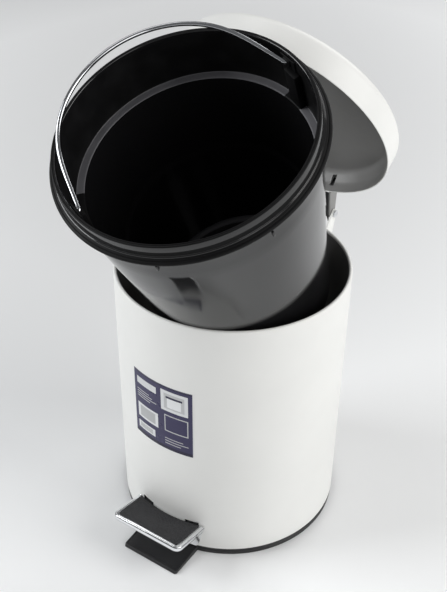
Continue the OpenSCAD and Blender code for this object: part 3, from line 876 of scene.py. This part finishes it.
class BIN_OT_rod(Operator):
    """The push rod with its black cap and foot"""
    bl_idname = "pedal_bin.rod"
    bl_label = "Push rod"

    def execute(self, context):
        bin_ = context.scene.pedal_bin
        refined("push_rod", "push_rod", stock("rod steel", drawn_steel, (900, 900, 40)), "rod")
        refined("rod_cap", "rod_cap", black_moulding(bin_), "rod")
        refined("rod_foot", "rod_foot", black_moulding(bin_), "rod")
        return {"FINISHED"}


LID_EAR_X = 30.4    # millimetres, from the lid's middle to each ear
LID_EAR_SHEET = 1.6
LID_SLOTS = (-LID_EAR_X, LID_EAR_X)


def lid_ear(radius, x):
    """An ear of the lid: a plate from its skirt, round the hinge pin."""
    eye = 5.2
    knuckle = [(HINGE.y + eye * math.cos(math.radians(a)),
                -RIM_RISE + eye * math.sin(math.radians(a))) for a in range(-100, 71, 10)]
    plate = raised(outline([(radius - 0.9, 0.8), *knuckle, (radius + 0.5, 18.6),
                            (radius - 0.9, 18.6)]), LID_EAR_SHEET)
    return moved(plate, Matrix.Translation((x - LID_EAR_SHEET / 2, 0, 0)) @ SIDEWAYS)


def lid_band(radius):
    """The strap along the back of the lid's skirt that joins its ears."""
    band = turned([(radius + 0.03, 3.5), (radius + 1.6, 3.5, 0.4), (radius + 1.6, 18, 0.4),
                   (radius + 0.03, 18)])
    for at, across in (((-LID_EAR_X, 0, 0), (-1, 0, 0)), ((LID_EAR_X, 0, 0), (1, 0, 0)),
                       ((0, 0, 0), (0, -1, 0))):
        bmesh.ops.bisect_plane(band, geom=band.verts[:] + band.edges[:] + band.faces[:],
                               dist=1e-5, plane_co=at, plane_no=across, clear_outer=True)
    bmesh.ops.holes_fill(band, edges=[e for e in band.edges if e.is_boundary], sides=0)
    return band


def lever_wing(radius, side):
    """A wing of the lid's lever, which leans from the skirt down to the hinge pin. Its black
    strip along the ear's front edge is painted shade.
    """
    width, past = 5.4, 5
    root, tip = Vector((radius + 2.2, 2.4)), Vector((HINGE.y + 0.2, -RIM_RISE - 5.6))
    reach = (tip - root).length
    wing = block((-width, 0, -0.6), (0, reach + past, 0.6), 0.3)
    for vert in wing.verts:
        if vert.co.y > reach and vert.co.x < -3:
            vert.co.x += 3.4
            vert.co.y -= 4
    lean = math.degrees(math.atan2(tip.y - root.y, tip.x - root.x))
    x = side * LID_EAR_X - side * LID_EAR_SHEET / 2 + (width if side < 0 else 0)
    return moved(wing, Matrix.Translation((x, root.x, root.y)) @ turn(lean, "X"))


class BIN_OT_lid(Operator):
    """The white lid, its grey inside, its arm, lever and rivets"""
    bl_idname = "pedal_bin.lid"
    bl_label = "Lid"

    def execute(self, context):
        bin_ = context.scene.pedal_bin
        radius, rise = bin_.body_radius * 1000 - 0.4, bin_.lid_crown * 1000
        skirt, shoulder = bin_.lid_skirt * 1000, bin_.lid_shoulder * 1000
        skin, ease = 0.8, math.radians(72)
        flat = radius - shoulder + shoulder * math.cos(ease)
        edge = skirt + shoulder * math.sin(ease)

        def shoulder_arc(size):
            """Corners of the shoulder's round, from the skirt to the crown."""
            return [(radius - shoulder + size * math.cos(ease * k / 10),
                     skirt + size * math.sin(ease * k / 10)) for k in range(10)]

        outer = turned([(radius - skin, 0), (radius - 0.1, 0, 0.3), (radius, 0.7)]
                       + shoulder_arc(shoulder) + crown(flat, edge, rise, 14)
                       + crown(flat - 0.2, edge - skin, rise, 14)[::-1]
                       + shoulder_arc(shoulder - skin)[::-1])
        lined = radius - skin - 0.05
        bend, bend_z = lined - 6.6, skirt + 2
        liner = turned([(lined - 1, 0.5), (lined, 0.5), (lined, skirt * 0.5),
                        (bend + 1.6, bend_z + 0.6, 3)]
                       + crown(bend - 3, bend_z + 1.2, 4.6, 12)
                       + crown(bend - 3.5, bend_z + 0.2, 4.6, 12)[::-1]
                       + [(bend, bend_z - 0.4, 5), (lined - 1, skirt * 0.5 - 0.2, 2)])
        slot_half, slot_low, slot_high = 2.4, 6.5, 17.5
        for part in (outer, liner):
            for x in LID_SLOTS:
                open_window(part, x - slot_half, x + slot_half, slot_low, slot_high, 1)
        piece("lid_shell", outer, "lid", [white_coat(bin_)], "lid_shell", at=AT_HINGE)
        piece("lid_liner", liner, "lid", [grey_coat(bin_)], "lid_liner", at=AT_HINGE)

        arm = joined(lid_band(radius), *[lid_ear(radius, x) for x in LID_SLOTS])
        piece("lid_arm", arm, "lid", [grey_coat(bin_)], "lid_arm", at=AT_HINGE)
        wings = []
        for side in (-1, 1):
            wings.append(lever_wing(radius, side))
            wings.append(block((side * LID_EAR_X - 2.3, radius - 4.2, 6.6),
                               (side * LID_EAR_X + 2.3, radius - 1.6, 17.4), 0.3))
        lever = moved(packed("lid_lever"), (MM @ AT_HINGE).inverted())
        piece("lid_lever", joined(lever, *wings), "lid", [black_moulding(bin_)], "lid_lever",
              at=AT_HINGE)
        refined("lid_rivets", "lid_rivets", rivet_metal(), "lid")
        return {"FINISHED"}


DULL, DUST_AND_SHEEN = 1, 2   # the bucket's second and third finish


class BIN_OT_bucket(Operator):
    """The black inner bucket with its lip, ledge, ears and mould marks"""
    bl_idname = "pedal_bin.bucket"
    bl_label = "Bucket"

    def execute(self, context):
        bin_ = context.scene.pedal_bin
        flange = (bin_.body_radius - bin_.flange_inset) * 1000
        depth, ledge = bin_.bucket_depth * 1000, bin_.ledge_depth * 1000
        step, wall, drop = bin_.ledge_width * 1000, 1.6, 15.3
        lip = flange - 6.7
        mouth = lip - 3.2
        upper = mouth - 0.5
        lower = upper - step
        floor = bin_.body_radius * 1000 - 31
        foot = -depth - 2.6
        cup = turned([
            (0, -depth - 2), (floor - 6, -depth - 2, 2), (floor - 4.5, foot, 0.6),
            (floor - 1.5, foot, 0.8), (floor + wall, -depth + 1.4, 2.5),
            (floor + 7, 78 - depth, 50), (upper + wall - 1, -ledge, 6),
            (mouth + wall, -drop + 3.5, 1), (flange - 4.6, -drop + 3, 0.8),
            (flange - 1.9, -drop, 0.6), (flange, -drop, 0.4), (flange, -drop + 1.9, 0.8),
            (flange - 1.9, -12.5, 0.15), (flange - 2.3, -12.8, 0.15),
            (flange - 2.7, -12.1, 0.15), (lip + 2.7, -11.5, 0.2), (lip + 2.4, -10.7, 0.25),
            (lip + 1.7, -10.4, 0.25), (lip + 1.4, -9.4, 0.6), (lip + 1.1, -6.0),
            (lip + 0.6, 0, 1.1), (lip - 0.6, 0, 0.2), (lip - 0.9, -0.5, 0.15),
            (lip - 1.4, -0.5, 0.15), (lip - 1.7, 0, 0.2), (lip - 2.6, -0.2, 0.6),
            (mouth, -2.4, 1.2), (upper, -ledge + 0.3, 0.9), (lower, -ledge, 1.1),
            (floor, -depth + 0.5, 4), (floor - 6, -depth, 1.2), (0, -depth)], segments=5)
        parts = [cup]
        for side in (0, 180):
            ear = block((mouth - 1.7, -9, -ledge + 0.5), (upper, 9, -2.6), 0.6)
            boss = block((mouth - 3.2, -4, -EAR_DROP - 3.6), (mouth, 4, -EAR_DROP + 3.4), 0.9)
            rib = block((lower + 0.8, -7.5, -ledge - 0.8), (upper - 0.2, 7.5, -12), 0.7)
            for part, angle in ((ear, side), (boss, side), (rib, side - 4)):
                for face in part.faces:
                    face.material_index = DULL
                parts.append(moved(part, turn(angle, "Z") @ turn(BAIL_TURN, "Z")))
        for angle in (-77.4, -26.3, 102.6, 153.7):
            mark = block((mouth - 0.2, -0.9, -35.5), (mouth + 2.2, 0.9, -29.5), 0.5)
            parts.append(moved(mark, turn(angle, "Z")))
        gate = turned([(0, 0), (4.2, 0), (4.2, 0.9, 0.4), (3.2, 0.9, 0.3), (3.0, 0.3),
                       (0, 0.3)], steps=48)
        parts.append(moved(gate, Matrix.Translation((0, 0, -depth - 0.05))))
        whole = joined(*parts)
        for face in whole.faces:
            middle = face.calc_center_median()
            around = math.hypot(middle.x, middle.y)
            angle = math.degrees(math.atan2(middle.y, middle.x))
            # Two stretches of the ledge lie in deep shade and are kept as dark as the wall.
            shaded = -148 < angle < -75 or 56 < angle < 67
            off_ledge = abs(middle.z + ledge)
            band = -drop - 0.5 < middle.z < -11.2 or -10.1 < middle.z < -6.1
            on_lip = middle.z > -0.7 and around > mouth + 1
            inside = around < mouth + 0.02 and 0.8 - ledge < middle.z < -2.6
            dark = shaded and off_ledge < 2 and lower - 0.5 < around < upper + 0.3
            # The pale ledge finish is partly dust and partly painted sheen, where light falls on
            # the ledge.
            dust_and_sheen = off_ledge < 0.7 and lower - 0.3 < around < upper + 0.3 and not shaded
            # The floor's corner ring gets the same pale, dusty finish as a painted highlight
            # along the corner.
            corner = 0.02 < middle.z + depth < 3.5 and floor - 5 < around < floor + 1
            if band and around > lip + 0.3 or on_lip or inside or dark:
                face.material_index = DULL
            elif dust_and_sheen or corner:
                face.material_index = DUST_AND_SHEEN
        black = tuple(bin_.bucket_color)
        # The third finish is thirteen times the bucket's black: partly dust, partly painted
        # sheen.
        piece("bucket", whole, "bucket", [
            stock("bucket plastic", gloss_plastic, black, 0.07, 0.12),
            stock("ribbed band", ribbed_band, shade(black, 0.55)),
            stock("dusty ledge", dusty_ledge_painted_sheen, shade(black, 13.0))], "bucket", at=AT_BUCKET)
        return {"FINISHED"}


class BIN_OT_bail(Operator):
    """The bright wire bail with its ends turned into the bucket's ears"""
    bl_idname = "pedal_bin.bail"
    bl_label = "Bail"

    def execute(self, context):
        bin_ = context.scene.pedal_bin
        radius, bow = bin_.wire * 1000, bin_.body_radius * 1000 - 14.3
        corner, end = 3.2, 4.4
        bm = tube(radius, (bow + end, 0, 0))
        ring = drawn(bm, bm.edges[:], (corner - end, 0, 0))
        ring = bent(bm, ring, (bow + corner, corner, 0), (0, 0, 1), -90, 8)
        ring = bent(bm, ring, (0, corner, 0), (0, 0, 1), 180, 120)
        ring = bent(bm, ring, (-bow - corner, corner, 0), (0, 0, 1), -90, 8)
        drawn(bm, ring, (corner - end, 0, 0))
        squeeze = (bow - corner) / bow
        pull, leg_length = 3.7, 80
        for vert in bm.verts:
            if vert.co.y > corner:
                vert.co.y = corner + (vert.co.y - corner) * squeeze
                leg = min((vert.co.y - corner) / leg_length, 1.0)
                # 6.75 brings the curve's highest value to 1.
                vert.co.x -= math.copysign(pull * 6.75 * leg * (1 - leg) ** 2, vert.co.x)
        wire = stock("bail wire", chrome, (0.52, 0.53, 0.55))
        piece("bail", capped(bm), "bail", [wire], "bail", at=AT_BAIL)
        return {"FINISHED"}


LAMPS = [
    # name, place, aim, size, power, colour
    ("lamp_left", (-1.7, -1.1, 1.3), (0, 0, 0.2), (1.2, 1.6), 37.5, (0.975, 0.99, 1.0)),
    ("lamp_right", (1.9, 0.5, 1.5), (0, 0, 0.2), (1.4, 1.8), 33.0, (1.0, 0.995, 0.98)),
    ("lamp_back", (0.1, 2.2, 1.5), (0, 0, 0.2), (1.6, 1.4), 17.0, (1.0, 1.0, 1.0)),
    ("lamp_front", (1.9, -1.0, 1.0), (0, 0, 0.2), (1.2, 1.2), 10.0, (1.0, 1.0, 1.0)),
    ("lamp_top", (-0.95, 0.3, 2.2), (0, 0, 0.3), (1.0, 0.8), 4.5, (1.0, 1.0, 1.0)),
]


def background(tree, color, strength):
    """A plain world colour."""
    made = tree.nodes.new("ShaderNodeBackground")
    made.inputs["Color"].default_value = (*color, 1)
    made.inputs["Strength"].default_value = strength
    return made


class BIN_OT_stage(Operator):
    """The pale floor, the soft lamps and the camera"""
    bl_idname = "pedal_bin.stage"
    bl_label = "Stage"

    def execute(self, context):
        bin_ = context.scene.pedal_bin
        scene = context.scene
        bm = bmesh.new()
        bmesh.ops.create_grid(bm, x_segments=2, y_segments=2, size=9.0)
        mesh = bpy.data.meshes.new("floor")
        bm.to_mesh(mesh)
        bm.free()
        floor = bpy.data.objects.new("floor", mesh)
        scene.collection.objects.link(floor)
        pale = tuple(bin_.floor_color)
        paper = Finish("floor paper", pale, 0.6, Specular_IOR_Level=0.2)
        # Painted light on the floor: a little darker on one side and lighter on the other, in a
        # smooth slope of tone.
        across, along, _ = paper.split()
        slope = (across * (0.376 + 0.543 * across + 0.159 * along)
                 + along * (0.301 * along - 0.275))
        paper.tone(slope, -0.16, 0.12, shade(pale, 0.87), shade(pale, 1.15))
        mesh.materials.append(paper.material)

        world = bpy.data.worlds.new("studio")
        scene.world = world
        world.use_nodes = True
        tree = world.node_tree
        tree.nodes.clear()
        path = tree.nodes.new("ShaderNodeLightPath")
        seen = background(tree, (0.80, 0.805, 0.81), 1.0)
        glow = background(tree, (0.98, 0.99, 1.0), 0.19)
        either = tree.nodes.new("ShaderNodeMixShader")
        output = tree.nodes.new("ShaderNodeOutputWorld")
        tree.links.new(path.outputs["Is Camera Ray"], either.inputs[0])
        tree.links.new(glow.outputs[0], either.inputs[1])
        tree.links.new(seen.outputs[0], either.inputs[2])
        tree.links.new(either.outputs[0], output.inputs["Surface"])

        for name, at, aim, size, power, tint in LAMPS:
            lamp = bpy.data.lights.new(name, "AREA")
            lamp.shape = "RECTANGLE"
            lamp.size, lamp.size_y = size
            lamp.energy = power
            lamp.color = tint
            stand = bpy.data.objects.new(name, lamp)
            stand.location = at
            stand.rotation_euler = (Vector(aim) - Vector(at)).to_track_quat("-Z", "Y").to_euler()
            scene.collection.objects.link(stand)

        eye = bpy.data.cameras.new("camera")
        eye.lens, eye.sensor_width = 58.04, 36.0
        eye.clip_start, eye.clip_end = 0.05, 60.0
        camera = bpy.data.objects.new("camera", eye)
        camera.location = (0.40858, -0.63243, 0.76608)
        camera.rotation_euler = [math.radians(a) for a in (55.0703, -0.5036, 33.8517)]
        scene.collection.objects.link(camera)
        scene.camera = camera
        scene.view_settings.view_transform = "Standard"
        return {"FINISHED"}


STEPS_IN_ORDER = [BIN_OT_body, BIN_OT_base, BIN_OT_hinge, BIN_OT_sticker, BIN_OT_pedal,
                  BIN_OT_rod, BIN_OT_lid, BIN_OT_bucket, BIN_OT_bail, BIN_OT_stage]


class BIN_PT_pieces(Panel):
    """Lists the pieces of the bin and their sizes"""
    bl_idname = "BIN_PT_pieces"
    bl_label = "Pedal bin"
    bl_space_type = "VIEW_3D"
    bl_region_type = "UI"
    bl_category = "Pedal bin"

    def draw(self, context):
        layout = self.layout
        for step in STEPS_IN_ORDER:
            layout.operator(step.bl_idname)
        for name in PedalBin.__annotations__:
            layout.prop(context.scene.pedal_bin, name)


CLASSES = [PedalBin, *STEPS_IN_ORDER, BIN_PT_pieces]


def register():
    for kind in CLASSES:
        bpy.utils.register_class(kind)
    bpy.types.Scene.pedal_bin = PointerProperty(type=PedalBin)


def unregister():
    del bpy.types.Scene.pedal_bin
    for kind in reversed(CLASSES):
        bpy.utils.unregister_class(kind)


def main():
    register()
    for step in STEPS_IN_ORDER:
        group, name = step.bl_idname.split(".")
        getattr(getattr(bpy.ops, group), name)()


if __name__ == "__main__":
    main()
